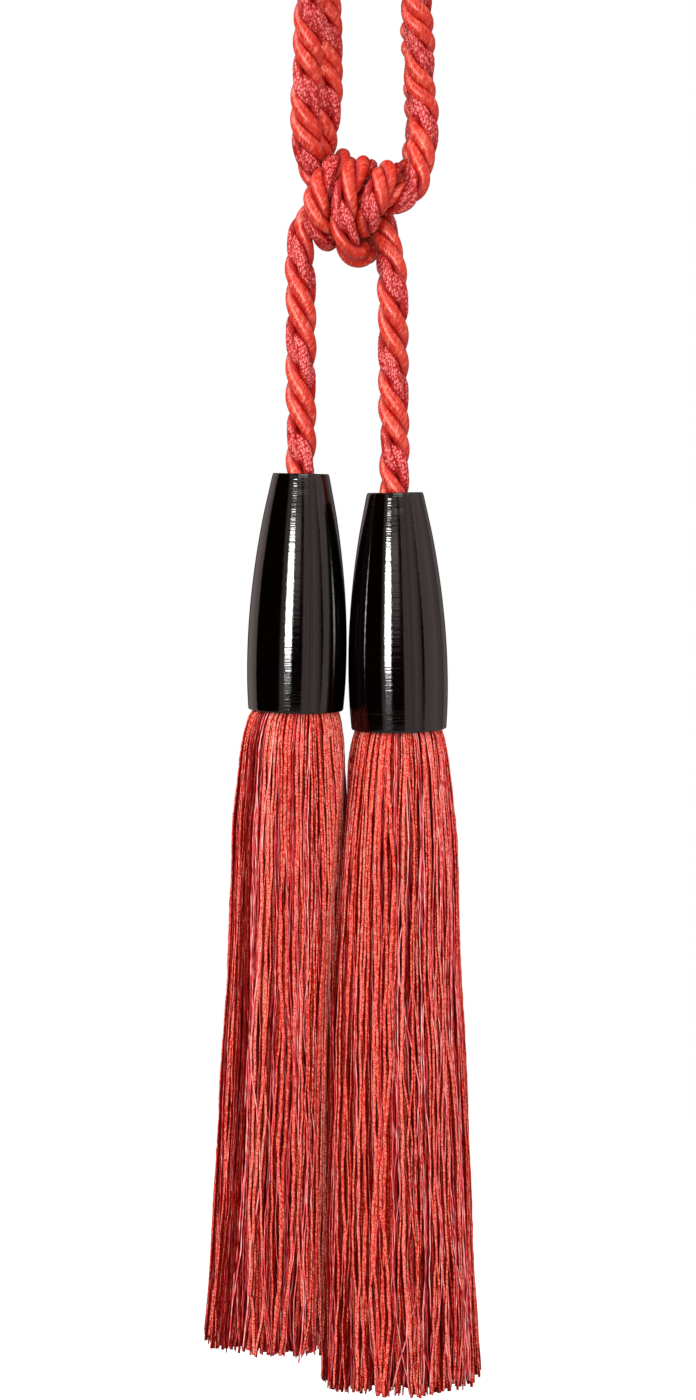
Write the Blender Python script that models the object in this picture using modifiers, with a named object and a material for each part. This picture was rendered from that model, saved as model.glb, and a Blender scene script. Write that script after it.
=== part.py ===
"""Double silk tassel: one twisted rope, tied in a wrapped knot under two hanging loops, carries
two turned heads, each with a long cut fringe. Metres, +Z up, front faces -Y. The origin lies at the
height of the loops' crowns, between the tassels."""

import math

import bmesh
import bpy
import numpy as np

MM = 0.001

# Rope: three strands laid left-handed.
ROPE_RADIUS = 5.0 * MM
LOBE_HALF_ANGLE = math.radians(22)
VALLEY_RADIUS = 3.1 * MM
KNOT_SQUEEZE = 0.88  # how far the strands press together inside the knot
KNOT_TOP = -75 * MM
KNOT_BOTTOM = -107 * MM
SQUEEZE_BLEND = 6 * MM
RING_STEP = 2.75 * MM
CROWN_RADIUS = 18.0 * MM
CROWN_SHARES = (0.0, 0.25, 0.5, 0.75, 1.0)
SPAN_POINTS = 24  # points worked out between two points of the route
LAY_EASING_MM = (-8, -4, 0, 4, 8)

# How the knot's turns settle: each round pushes touching turns apart, evens the bends and pulls the
# rope back to its route; the last rounds only ease and push.
SETTLE_ROUNDS = 400
PULL_ROUNDS = 280
BEND_ROUNDS = 340
TURN_CLEARANCE = 0.15 * MM
NEIGHBOUR_REACH = 3 * ROPE_RADIUS  # rope this close along itself is not pushed
PUSH_SHARE = 0.5
BEND_SHARE = 0.35
LAST_BEND_SHARE = 0.1
PULL_SHARE = 0.04

# Heads: a drop-shaped mould, widest low down, with a bore for the rope and a recess for the fringe.
HEAD_HEIGHT = 75.5 * MM
HEAD_SIDES = 28
BORE_RADIUS = 5.6 * MM
RECESS_RADIUS = 14.3 * MM
RECESS_DEPTH = 11.0 * MM
HEAD_PROFILE_MM = [
    # below top, radius
    (0.0, 9.0),
    (5.3, 10.1),
    (14.9, 12.0),
    (27.7, 13.9),
    (40.5, 15.2),
    (50.0, 15.75),
    (60.0, 15.9),
    (68.0, 15.7),
    (75.5, 15.2),
]
HEADS = {
    # top centre x, top z, lean outward of the lower end
    "left": (-14.9 * MM, -176.5 * MM, math.radians(1.26)),
    "right": (15.2 * MM, -182.6 * MM, math.radians(-0.95)),
}

# Skirts: rings of yarn locks rooted in a plug; the two skirts press on each other.
PLUG_RADIUS = 13.9 * MM
PLUG_HEIGHT = 8.0 * MM
PLUG_INSET = 2.2 * MM
PLUG_SIDES = 36
NECK_RADIUS = 13.1 * MM
LOCK_RINGS = [
    # share of the skirt's outline, locks in the ring
    (0.955, 42),
    (0.72, 34),
    (0.47, 24),
    (0.22, 12),
]
LOCK_LEVELS_MM = [-5.0, 1.5, 11, 35, 90]  # below the head, from the roots to the last bend
LOCK_FILL = 0.74  # a lock's width as a share of its spacing
LOCK_THICKNESS = 2.6 * MM  # at most
LOCK_OUTER_SHARE = 0.3
LOCK_INNER_SHARE = 0.6
LENGTH_SPREAD = 1.6 * MM
LENGTH_SEED = {"left": 7, "right": 11}
CUT_HEIGHT = {"left": -452.6 * MM, "right": -462.4 * MM}
OUTLINE_POINTS = 240
SKIRT_MARGIN = 0.9 * MM  # kept free on each side of the plane where the skirts press
SKIRT_LEVELS_MM = [
    # below head, left edge, right edge, contact x, reach past it, half depth, offset y, contact slant
    (1.5, -30.0, 29.5, 0.0, -3.3, 13.1, 0.0, 0.0),
    (11, -34.4, 32.8, -0.3, -0.3, 17.0, 0.0, 0.0),
    (35, -37.0, 35.2, -0.8, 3.0, 18.0, 1.0, 0.2),
    (90, -39.4, 37.1, -1.6, 7.0, 18.8, 2.4, 0.45),
    (203, -46.4, 42.2, -2.3, 9.8, 19.6, 3.0, 0.6),
]


def crown(x_down, x_up, first_side):
    """A hanging loop's half-turn over its crown, from the side y = first_side * radius to the other."""
    points = []
    for share in CROWN_SHARES:
        angle = math.pi * share
        y = first_side * CROWN_RADIUS / MM * math.cos(angle)
        z = CROWN_RADIUS / MM * (math.sin(angle) - 1)
        points.append((x_down + (x_up - x_down) * share, y, z, 0))
    return points


# The rope's route, end to end, in millimetres: x, y, z and how freely the knot may shift the point
# (0 fixed, 1 free).
LEFT_HEAD_TO_KNOT = [
    (-15.25, 0, -192.5, 0),
    (-14.9, 0, -176.5, 0),
    (-14.9, 0, -150, 0),
    (-14.9, 0, -125, 0),
    (-14.9, -0.5, -112, 0.05),
    (-14.7, -2, -103, 0.4),
]
CORE_TO_RIGHT_LOOP = [
    (-12.8, -3.4, -96.0, 1),
    (-8.2, -4.8, -90.6, 1),
    (0, -5, -87.6, 1),
    (6, -4.8, -87.6, 1),
    (11.2, -5.6, -89.8, 1),
    (16, -8, -91.6, 1),
    (20.8, -9.2, -88, 1),
    (23.8, -8.6, -80.4, 0.6),
    (24.8, -7, -71.4, 0.2),
    (24.1, -6.5, -61.8, 0),
    (22.7, -8.2, -52.5, 0),
    (22.9, -11, -43.2, 0),
    (22.0, -14.2, -34.3, 0),
    (21.4, -17, -25, 0),
]
RIGHT_LOOP_TO_KNOT = [
    (21.8, 17, -25, 0),
    (22.6, 11.5, -43, 0),
    (23.2, 7.5, -60, 0),
    (23.5, 7.5, -73, 0.3),
    (23, 9.6, -81, 1),
    (20.6, 11, -87, 1),
    (17.2, 6.5, -88, 1),
    (15, -1, -85, 1),
]
RIGHT_TURN = [
    (13.8, -8, -84.6, 1),
    (10.6, -14, -87.6, 1),
    (6.8, -15, -92, 1),
    (3.8, -12, -96.6, 1),
    (2.6, -4, -97.4, 1),
    (4.0, 6, -96.5, 1),
    (6.0, 13.4, -90.5, 1),
    (6.6, 12.4, -82.5, 1),
    (6.0, 4, -75.4, 1),
]
MIDDLE_TURN = [
    (3.8, -6.5, -74.8, 1),
    (0.8, -13.6, -82, 1),
    (-3, -15.6, -90.5, 1),
    (-5.4, -14.8, -95.8, 1),
    (-4.2, -13, -100, 1),
    (0.2, -9.6, -102.2, 1),
    (5.4, -2, -102.6, 1),
    (8.0, 8, -101, 1),
    (6.5, 19, -96.5, 1),
    (2, 21, -87, 1),
    (-0.6, 16.5, -77.5, 1),
    (-1.4, 6, -73.2, 1),
]
LEFT_TURN = [
    (-3.6, -4.6, -75.8, 1),
    (-8.6, -12.5, -82.0, 1),
    (-11.8, -15.5, -90, 1),
    (-11.8, -13.6, -98, 1),
    (-9.6, -9, -103, 1),
    (-8.0, 2, -103.5, 1),
    (-8.2, 12.8, -95, 1),
    (-7.8, 13, -84, 1),
    (-7, 10.8, -75, 1),
]
KNOT_TO_LEFT_LOOP = [
    (-6.4, 8.6, -65, 0.5),
    (-6.4, 8.2, -55, 0),
    (-6.5, 11.5, -42, 0),
    (-6.8, 17, -25, 0),
]
LEFT_LOOP_TO_KNOT = [
    (-11.4, -17, -25, 0),
    (-12.4, -11, -43, 0),
    (-13.3, -6.8, -60, 0),
    (-13.6, -4.4, -71, 0.4),
    (-12.4, -1, -79, 1),
]
CORE_TO_RIGHT_HEAD = [
    (-8.8, 3, -85, 1),
    (-3.5, 4.6, -87.2, 1),
    (3, 4.6, -87.8, 1),
    (8.4, 3.4, -90.4, 1),
    (12.2, 0, -96, 1),
    (13.9, -4.2, -102, 1),
    (14.1, -6.6, -110, 0.6),
    (14.5, -4.5, -122, 0.05),
    (14.7, -0.5, -142, 0),
    (14.8, 0, -160, 0),
    (15.2, 0, -182.6, 0),
    (15.45, 0, -198.6, 0),
]
ROUTE = (
    LEFT_HEAD_TO_KNOT
    + CORE_TO_RIGHT_LOOP
    + crown(21.0, 21.4, -1)
    + RIGHT_LOOP_TO_KNOT
    + RIGHT_TURN
    + MIDDLE_TURN
    + LEFT_TURN
    + KNOT_TO_LEFT_LOOP
    + crown(-7.6, -10.4, 1)
    + LEFT_LOOP_TO_KNOT
    + CORE_TO_RIGHT_HEAD
)

# How many whole turns the strands have made at places along the rope, from its end in the left head:
# one in about 30 mm in the free runs, and one in 21 to 25 mm where the rope is pulled round.
STRAND_TURNS = [
    # millimetres along, turns
    (0, 0.20),
    (53, 1.97),
    (85, 2.97),
    (134, 4.96),
    (158, 5.97),
    (179, 6.97),
    (356, 15.40),
    (410, 17.80),
    (434, 18.56),
    (517, 21.66),
    (540, 22.62),
    (597, 25.08),
    (620, 26.08),
    (705, 29.61),
    (730, 30.61),
    (754, 31.63),
    (806, 33.69),
    (836, 34.69),
    (863, 35.69),
    (890, 36.65),
]


def respaced(points, step):
    """The polyline's points at even spacing, about a step apart. Every column is carried along."""
    sides = np.linalg.norm(np.diff(points[:, :3], axis=0), axis=1)
    along = np.concatenate([[0.0], np.cumsum(sides)])
    places = np.linspace(0.0, along[-1], int(round(along[-1] / step)) + 1)
    return np.stack([np.interp(places, along, column) for column in points.T], axis=1)


def smooth_route(step):
    """A smooth curve through the route's points, as even points with their freedom."""
    knots = np.array(ROUTE, float)
    knots[:, :3] *= MM
    sides = np.linalg.norm(np.diff(knots[:, :3], axis=0), axis=1)
    times = np.concatenate([[0.0], np.cumsum(np.sqrt(sides))])
    slopes = np.gradient(knots, times, axis=0)
    u = np.linspace(0.0, 1.0, SPAN_POINTS, endpoint=False)[:, None]
    pieces = []
    for i in range(len(knots) - 1):
        span = times[i + 1] - times[i]
        pieces.append(
            (2 * u**3 - 3 * u**2 + 1) * knots[i]
            + (u**3 - 2 * u**2 + u) * span * slopes[i]
            + (3 * u**2 - 2 * u**3) * knots[i + 1]
            + (u**3 - u**2) * span * slopes[i + 1]
        )
    return respaced(np.concatenate([*pieces, knots[-1:]]), step)


def squeeze(height):
    """The rope's thickness at a height, as a share of its free thickness."""
    above_bottom = np.clip((height - KNOT_BOTTOM) / SQUEEZE_BLEND + 0.5, 0, 1)
    below_top = np.clip((KNOT_TOP - height) / SQUEEZE_BLEND + 0.5, 0, 1)
    return 1 - (1 - KNOT_SQUEEZE) * above_bottom * below_top


def settled(route):
    """The route once its turns have pushed each other apart, as a knot's turns do when pulled tight."""
    points = route[:, :3].copy()
    home = points.copy()
    freedom = np.clip(route[:, 3:], 0, 1)
    order = np.arange(len(points))
    step = np.linalg.norm(np.diff(points, axis=0), axis=1).mean()
    apart_along = np.abs(order[:, None] - order[None]) * step > NEIGHBOUR_REACH
    for i in range(SETTLE_ROUNDS):
        radius = ROPE_RADIUS * squeeze(points[:, 2])
        away = points[:, None] - points[None]
        distance = np.linalg.norm(away, axis=2) + 1e-9
        room = radius[:, None] + radius[None] + TURN_CLEARANCE
        lack = np.clip(room - distance, 0, None) * apart_along
        push = (away * (lack / distance)[..., None]).sum(axis=1)
        touching = np.maximum((lack > 0).sum(axis=1), 1)[:, None]
        points += push / touching * PUSH_SHARE * freedom
        bend = np.zeros_like(points)
        bend[1:-1] = (points[2:] + points[:-2]) / 2 - points[1:-1]
        points += bend * (BEND_SHARE if i < BEND_ROUNDS else LAST_BEND_SHARE) * freedom
        if i < PULL_ROUNDS:
            points += (home - points) * PULL_SHARE * freedom
    return points


def lay(points):
    """The strands' turn angle at each point, from the table of turns, with its changes eased."""
    places, turns = np.array(STRAND_TURNS).T
    steps = np.linalg.norm(np.diff(points, axis=0), axis=1)
    along = np.concatenate([[0.0], np.cumsum(steps)]) / MM
    shifted = [np.interp(along + shift, places, turns) for shift in LAY_EASING_MM]
    eased = sum(shifted) / len(shifted)
    near_end = (along < LAY_EASING_MM[-1]) | (along > along[-1] - LAY_EASING_MM[-1])
    return 2 * math.pi * np.where(near_end, np.interp(along, places, turns), eased)


def link(obj, collection):
    """Puts the object in the collection only."""
    for old in list(obj.users_collection):
        old.objects.unlink(obj)
    collection.objects.link(obj)
    return obj


def material(name, colour, roughness, metallic=0.0):
    """A plain Principled material."""
    made = bpy.data.materials.new(name)
    made.use_nodes = True
    shader = made.node_tree.nodes["Principled BSDF"]
    shader.inputs["Base Color"].default_value = (*colour, 1.0)
    shader.inputs["Roughness"].default_value = roughness
    shader.inputs["Metallic"].default_value = metallic
    return made


def baked(obj, name, collection, surface, sharp_angle):
    """The object as one plain mesh object, with its modifiers applied and loose caps welded."""
    graph = bpy.context.evaluated_depsgraph_get()
    mesh = bpy.data.meshes.new_from_object(obj.evaluated_get(graph))
    shape = bmesh.new()
    shape.from_mesh(mesh)
    bmesh.ops.remove_doubles(shape, verts=shape.verts, dist=1e-6)
    bmesh.ops.recalc_face_normals(shape, faces=shape.faces)
    shape.to_mesh(mesh)
    shape.free()
    mesh.name = name
    mesh.shade_smooth()
    mesh.set_sharp_from_angle(angle=sharp_angle)
    mesh.materials.clear()
    mesh.materials.append(surface)
    made = bpy.data.objects.new(name, mesh)
    made.matrix_world = obj.matrix_world.copy()
    bpy.data.objects.remove(obj)
    return link(made, collection)


def poly_curve(name, points, cyclic=False):
    """A curve object on one POLY spline."""
    data = bpy.data.curves.new(name, "CURVE")
    data.dimensions = "3D"
    spline = data.splines.new("POLY")
    spline.points.add(len(points) - 1)
    spline.points.foreach_set("co", np.column_stack([points, np.ones(len(points))]).ravel())
    spline.use_cyclic_u = cyclic
    return bpy.data.objects.new(name, data)


def strand_section(collection):
    """The rope's section: three round-topped lobes with a valley between each two."""
    points = []
    for lobe in range(3):
        middle = lobe * 2 * math.pi / 3
        for angle, radius in (
            (middle - LOBE_HALF_ANGLE, ROPE_RADIUS),
            (middle + LOBE_HALF_ANGLE, ROPE_RADIUS),
            (middle + math.pi / 3, VALLEY_RADIUS),
        ):
            points.append((radius * math.cos(angle), radius * math.sin(angle), 0.0))
    section = poly_curve("rope_section", np.array(points), cyclic=True)
    section.hide_render = True
    section.display_type = "WIRE"
    return link(section, collection)


def rope(collection, cutters):
    """The whole rope: a lobed section carried along the settled route and turned left-handed."""
    route = smooth_route(RING_STEP)
    centre = respaced(settled(route), RING_STEP)
    curve = poly_curve("rope_curve", centre)
    section = strand_section(cutters)
    curve.data.bevel_mode = "OBJECT"
    curve.data.bevel_object = section
    curve.data.use_fill_caps = True
    curve.data.twist_mode = "MINIMUM"
    spline = curve.data.splines[0]
    spline.points.foreach_set("tilt", -lay(centre))
    spline.points.foreach_set("radius", squeeze(centre[:, 2]))
    link(curve, collection)
    satin = material("rope_silk", (0.78, 0.07, 0.03), 0.45)
    made = baked(curve, "rope", collection, satin, math.radians(180))
    bpy.data.objects.remove(section)
    return made


def head(side, collection):
    """A turned head: outer side down, bottom edge, recess, bore and back to the top edge."""
    top_x, top_z, lean = HEADS[side]
    outline = [(radius * MM, -below * MM) for below, radius in HEAD_PROFILE_MM]
    ceiling = -HEAD_HEIGHT + RECESS_DEPTH
    outline += [
        (RECESS_RADIUS, -HEAD_HEIGHT),
        (RECESS_RADIUS, ceiling),
        (BORE_RADIUS, ceiling),
        (BORE_RADIUS, 0.0),
    ]
    mesh = bpy.data.meshes.new("head_profile")
    edges = [(i, (i + 1) % len(outline)) for i in range(len(outline))]
    mesh.from_pydata([(x, 0.0, z) for x, z in outline], edges, [])
    profile = link(bpy.data.objects.new("head_profile", mesh), collection)
    turn = profile.modifiers.new("turn", "SCREW")
    turn.steps = HEAD_SIDES
    turn.render_steps = HEAD_SIDES
    turn.use_merge_vertices = True
    turn.merge_threshold = 1e-5
    profile.location = (top_x, 0.0, top_z)
    profile.rotation_euler = (0.0, lean, 0.0)
    bpy.context.view_layer.update()
    resin = material("head_resin_" + side, (0.012, 0.008, 0.007), 0.12)
    return baked(profile, "head_" + side, collection, resin, math.radians(35))


def head_foot(side):
    """The centre of the head's bottom edge."""
    top_x, top_z, lean = HEADS[side]
    return np.array(
        [top_x - HEAD_HEIGHT * math.sin(lean), 0.0, top_z - HEAD_HEIGHT * math.cos(lean)]
    )


def skirt_outline(side, below):
    """The skirt's outline at a depth below its head, as points starting on the outer side."""
    sign = -1 if side == "left" else 1
    foot = head_foot(side)
    levels = np.array(SKIRT_LEVELS_MM, float)
    levels[:, :7] *= MM
    row = [np.interp(below, levels[:, 0], levels[:, k]) for k in range(1, 8)]
    left_edge, right_edge, contact, reach, half_depth, offset, slant = row
    outer = left_edge if side == "left" else right_edge
    inner = contact - sign * reach
    centre = np.array([(outer + inner) / 2, -sign * offset])
    half_width = abs(outer - inner) / 2
    if below <= levels[0, 0]:
        centre = foot[:2]
        half_width = NECK_RADIUS
    angle = np.linspace(0, 2 * math.pi, OUTLINE_POINTS, endpoint=False)
    ray = np.stack([sign * half_width * np.cos(angle), half_depth * np.sin(angle)], axis=1)
    across = -sign * (ray[:, 0] - slant * ray[:, 1])
    room = -sign * (contact - centre[0] + slant * centre[1]) - SKIRT_MARGIN
    room_here = np.where(across > 1e-9, room / np.maximum(across, 1e-9), 9.0)
    return centre, ray * np.clip(room_here, 0, 1)[:, None]


def lock_rings(side, below, share, shares_along):
    """Places, tangents and spacing of a ring of locks at a depth below the head."""
    centre, ray = skirt_outline(side, below)
    loop = np.vstack([ray, ray[:1]]) * share
    sides = np.linalg.norm(np.diff(loop, axis=0), axis=1)
    along = np.concatenate([[0.0], np.cumsum(sides)])
    places = np.mod(shares_along, 1.0) * along[-1]
    at = np.stack([np.interp(places, along, loop[:, k]) for k in range(2)], axis=1)
    ahead = np.mod(places + MM / 2, along[-1])
    behind = np.mod(places - MM / 2, along[-1])
    tangent = np.stack(
        [np.interp(ahead, along, loop[:, k]) - np.interp(behind, along, loop[:, k]) for k in range(2)],
        axis=1,
    )
    tangent /= np.linalg.norm(tangent, axis=1)[:, None]
    outward = np.stack([tangent[:, 1], -tangent[:, 0]], axis=1)
    outward *= np.sign((outward * at).sum(axis=1))[:, None]
    return centre + at, tangent, outward, along[-1] / len(shares_along)


def lock_mesh(side):
    """All the locks of a skirt: three-sided tapering strands with uneven cut ends."""
    random = np.random.default_rng(LENGTH_SEED[side])
    foot_z = head_foot(side)[2]
    drop = foot_z - CUT_HEIGHT[side]
    levels = [level * MM for level in LOCK_LEVELS_MM] + [drop]
    shape = bmesh.new()
    for ring, (share, count) in enumerate(LOCK_RINGS):
        shares_along = (np.arange(count) + 0.5 * (ring % 2) + 0.25) / count
        ends = random.uniform(-LENGTH_SPREAD, LENGTH_SPREAD, count)
        sections = []
        for below in levels:
            at, tangent, outward, spacing = lock_rings(side, max(below, 0), share, shares_along)
            width = LOCK_FILL * spacing
            thick = min(width, LOCK_THICKNESS)
            z = np.full(count, foot_z - below) - (ends if below == drop else 0)
            corners = [
                at + tangent * width / 2 + outward * thick * LOCK_OUTER_SHARE,
                at - tangent * width / 2 + outward * thick * LOCK_OUTER_SHARE,
                at - outward * thick * LOCK_INNER_SHARE,
            ]
            sections.append([np.column_stack([corner, z]) for corner in corners])
        for i in range(count):
            rings = [[shape.verts.new(corner[i]) for corner in section] for section in sections]
            shape.faces.new(rings[0])
            shape.faces.new(rings[-1][::-1])
            for upper, lower in zip(rings[:-1], rings[1:]):
                for k in range(3):
                    nxt = (k + 1) % 3
                    shape.faces.new((upper[k], lower[k], lower[nxt], upper[nxt]))
    bmesh.ops.recalc_face_normals(shape, faces=shape.faces)
    mesh = bpy.data.meshes.new("locks")
    shape.to_mesh(mesh)
    shape.free()
    return mesh


def skirt(side, collection, cutters):
    """A cut fringe: rings of locks with their roots bound into a round plug."""
    lean = HEADS[side][2]
    foot = head_foot(side)
    locks = link(bpy.data.objects.new("locks_" + side, lock_mesh(side)), cutters)
    locks.hide_render = True
    locks.display_type = "WIRE"
    shape = bmesh.new()
    bmesh.ops.create_cone(
        shape,
        cap_ends=True,
        segments=PLUG_SIDES,
        radius1=PLUG_RADIUS,
        radius2=PLUG_RADIUS,
        depth=PLUG_HEIGHT,
    )
    mesh = bpy.data.meshes.new("plug")
    shape.to_mesh(mesh)
    shape.free()
    plug = link(bpy.data.objects.new("plug", mesh), collection)
    up = PLUG_INSET + PLUG_HEIGHT / 2
    plug.location = (foot[0] + up * math.sin(lean), 0.0, foot[2] + up * math.cos(lean))
    plug.rotation_euler = (0.0, lean, 0.0)
    bind = plug.modifiers.new("bind", "BOOLEAN")
    bind.operation = "UNION"
    bind.object = locks
    bpy.context.view_layer.update()
    silk = material("skirt_silk_" + side, (0.55, 0.05, 0.05), 0.6)
    made = baked(plug, "skirt_" + side, collection, silk, math.radians(60))
    bpy.data.objects.remove(locks)
    return made


def main():
    for old in list(bpy.data.objects):
        bpy.data.objects.remove(old)
    tassel = bpy.data.collections.new("double_silk_tassel")
    cutters = bpy.data.collections.new("cutters")
    bpy.context.scene.collection.children.link(tassel)
    bpy.context.scene.collection.children.link(cutters)
    rope(tassel, cutters)
    for side in ("left", "right"):
        head(side, tassel)
        skirt(side, tassel, cutters)


main()
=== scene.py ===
import math

import bpy
import numpy as np
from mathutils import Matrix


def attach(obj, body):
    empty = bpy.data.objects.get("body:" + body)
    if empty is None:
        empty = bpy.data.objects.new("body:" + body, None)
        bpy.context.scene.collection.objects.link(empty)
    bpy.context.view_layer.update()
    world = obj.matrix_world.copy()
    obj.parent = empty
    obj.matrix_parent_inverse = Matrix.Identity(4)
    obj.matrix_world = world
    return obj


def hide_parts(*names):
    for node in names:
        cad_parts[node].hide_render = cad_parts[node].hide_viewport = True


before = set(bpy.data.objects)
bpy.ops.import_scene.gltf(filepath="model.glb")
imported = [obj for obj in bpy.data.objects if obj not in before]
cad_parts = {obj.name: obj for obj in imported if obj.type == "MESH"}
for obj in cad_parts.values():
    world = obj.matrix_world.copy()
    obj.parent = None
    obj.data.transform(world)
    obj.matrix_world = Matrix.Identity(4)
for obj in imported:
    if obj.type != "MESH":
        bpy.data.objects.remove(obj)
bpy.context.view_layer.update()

MM = 0.001

# ------------------------------------------------------------------------------------ Camera
# A level lens straight at the front, at the height of the heads' tops. Its film is shifted down,
# so that the whole tassel is in view from the loops to the cut ends and its uprights stay upright.
LENS_X = 0.16 * MM
LENS_DISTANCE = 0.75
LENS_HEIGHT = -0.1786
LENS_LENGTH = 60.27
FILM_SIZE = 36.0
FILM_SHIFT = -0.1571


def placed(name, data):
    """A new object in the scene."""
    made = bpy.data.objects.new(name, data)
    bpy.context.scene.collection.objects.link(made)
    return made


camera = placed("camera", bpy.data.cameras.new("camera"))
camera.location = (LENS_X, -LENS_DISTANCE, LENS_HEIGHT)
camera.rotation_euler = (math.pi / 2, 0.0, 0.0)
camera.data.lens = LENS_LENGTH
camera.data.sensor_width = FILM_SIZE
camera.data.shift_y = FILM_SHIFT
bpy.context.scene.camera = camera

# -------------------------------------------------------------------------------------- Rope
# One silk rope, 10 mm thick: two satin strands and a knobbly crepe strand, laid left-handed.
# It rises out of the left head, makes the core and the right loop, wraps three turns round its own
# runs, makes the left loop and goes down through the knot into the right head.
ROPE_RADIUS = 5.0 * MM
KNOT_SQUEEZE = 0.88  # how far the strands press together inside the knot
KNOT_TOP = -75 * MM
KNOT_BOTTOM = -107 * MM
SQUEEZE_BLEND = 6 * MM
RING_STEP = 2.75 * MM
CROWN_RADIUS = 18.0 * MM
CROWN_SHARES = (0.0, 0.25, 0.5, 0.75, 1.0)
SPAN_POINTS = 24  # points worked out between two points of the route
LAY_EASING_MM = (-8, -4, 0, 4, 8)

# How the knot's turns settle: each round pushes touching turns apart, evens the bends and pulls the
# rope back to its route; the last rounds only ease and push.
SETTLE_ROUNDS = 400
PULL_ROUNDS = 280
BEND_ROUNDS = 340
TURN_CLEARANCE = 0.15 * MM
NEIGHBOUR_REACH = 3 * ROPE_RADIUS  # rope this close along itself is not pushed
PUSH_SHARE = 0.5
BEND_SHARE = 0.35
LAST_BEND_SHARE = 0.1
PULL_SHARE = 0.04

START_TURN = 20
SATIN_STRANDS = [
    # degrees round the rope, tone
    (5, 0.45),
    (115, 0.55),
]
SATIN_OFFSET = 2.7 * MM
SATIN_OUT = 2.3 * MM
SATIN_FLANK = 2.4 * MM
SATIN_SIDES = 26
SATIN_STEP = 0.8 * MM
SATIN_WAVER = 0.02  # its slow change of thickness, as a share
SATIN_WAVER_LENGTH = 9 * MM
CREPE_ANGLE = 240
CREPE_PLIES = [
    # where the ply's swing starts, tone
    (0.0, 0.4),
    (math.pi, 0.6),
]
CREPE_OFFSET = 2.55 * MM
PLY_SWING_OUT = 0.8 * MM  # how far a ply of the crepe strand swings outward
PLY_SWING_FLANK = 1.5 * MM  # and to the sides
PLY_TURN = 18 * MM
PLY_OUT = 1.65 * MM
PLY_FLANK = 2.0 * MM
PLY_SIDES = 20
PLY_STEP = 0.42 * MM
PLY_CRINKLE = 0.03  # the height of its bumps, as a share of its thickness
PLY_BUMPS_ROUND = 4
PLY_BUMP_STEP = 1.7 * MM


def crown(x_down, x_up, first_side):
    """A hanging loop's half-turn over its crown, from the side y = first_side * radius to the other."""
    points = []
    for share in CROWN_SHARES:
        angle = math.pi * share
        y = first_side * CROWN_RADIUS / MM * math.cos(angle)
        z = CROWN_RADIUS / MM * (math.sin(angle) - 1)
        points.append((x_down + (x_up - x_down) * share, y, z, 0))
    return points


# The rope's route, end to end, in millimetres: x, y, z and how freely the knot may shift the point
# (0 fixed, 1 free).
LEFT_HEAD_TO_KNOT = [
    (-15.25, 0, -192.5, 0),
    (-14.9, 0, -176.5, 0),
    (-14.9, 0, -150, 0),
    (-14.9, 0, -125, 0),
    (-14.9, -0.5, -112, 0.05),
    (-14.7, -2, -103, 0.4),
]
CORE_TO_RIGHT_LOOP = [
    (-12.8, -3.4, -96.0, 1),
    (-8.2, -4.8, -90.6, 1),
    (0, -5, -87.6, 1),
    (6, -4.8, -87.6, 1),
    (11.2, -5.6, -89.8, 1),
    (16, -8, -91.6, 1),
    (20.8, -9.2, -88, 1),
    (23.8, -8.6, -80.4, 0.6),
    (24.8, -7, -71.4, 0.2),
    (24.1, -6.5, -61.8, 0),
    (22.7, -8.2, -52.5, 0),
    (22.9, -11, -43.2, 0),
    (22.0, -14.2, -34.3, 0),
    (21.4, -17, -25, 0),
]
RIGHT_LOOP_TO_KNOT = [
    (21.8, 17, -25, 0),
    (22.6, 11.5, -43, 0),
    (23.2, 7.5, -60, 0),
    (23.5, 7.5, -73, 0.3),
    (23, 9.6, -81, 1),
    (20.6, 11, -87, 1),
    (17.2, 6.5, -88, 1),
    (15, -1, -85, 1),
]
RIGHT_TURN = [
    (13.8, -8, -84.6, 1),
    (10.6, -14, -87.6, 1),
    (6.8, -15, -92, 1),
    (3.8, -12, -96.6, 1),
    (2.6, -4, -97.4, 1),
    (4.0, 6, -96.5, 1),
    (6.0, 13.4, -90.5, 1),
    (6.6, 12.4, -82.5, 1),
    (6.0, 4, -75.4, 1),
]
MIDDLE_TURN = [
    (3.8, -6.5, -74.8, 1),
    (0.8, -13.6, -82, 1),
    (-3, -15.6, -90.5, 1),
    (-5.4, -14.8, -95.8, 1),
    (-4.2, -13, -100, 1),
    (0.2, -9.6, -102.2, 1),
    (5.4, -2, -102.6, 1),
    (8.0, 8, -101, 1),
    (6.5, 19, -96.5, 1),
    (2, 21, -87, 1),
    (-0.6, 16.5, -77.5, 1),
    (-1.4, 6, -73.2, 1),
]
LEFT_TURN = [
    (-3.6, -4.6, -75.8, 1),
    (-8.6, -12.5, -82.0, 1),
    (-11.8, -15.5, -90, 1),
    (-11.8, -13.6, -98, 1),
    (-9.6, -9, -103, 1),
    (-8.0, 2, -103.5, 1),
    (-8.2, 12.8, -95, 1),
    (-7.8, 13, -84, 1),
    (-7, 10.8, -75, 1),
]
KNOT_TO_LEFT_LOOP = [
    (-6.4, 8.6, -65, 0.5),
    (-6.4, 8.2, -55, 0),
    (-6.5, 11.5, -42, 0),
    (-6.8, 17, -25, 0),
]
LEFT_LOOP_TO_KNOT = [
    (-11.4, -17, -25, 0),
    (-12.4, -11, -43, 0),
    (-13.3, -6.8, -60, 0),
    (-13.6, -4.4, -71, 0.4),
    (-12.4, -1, -79, 1),
]
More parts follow.
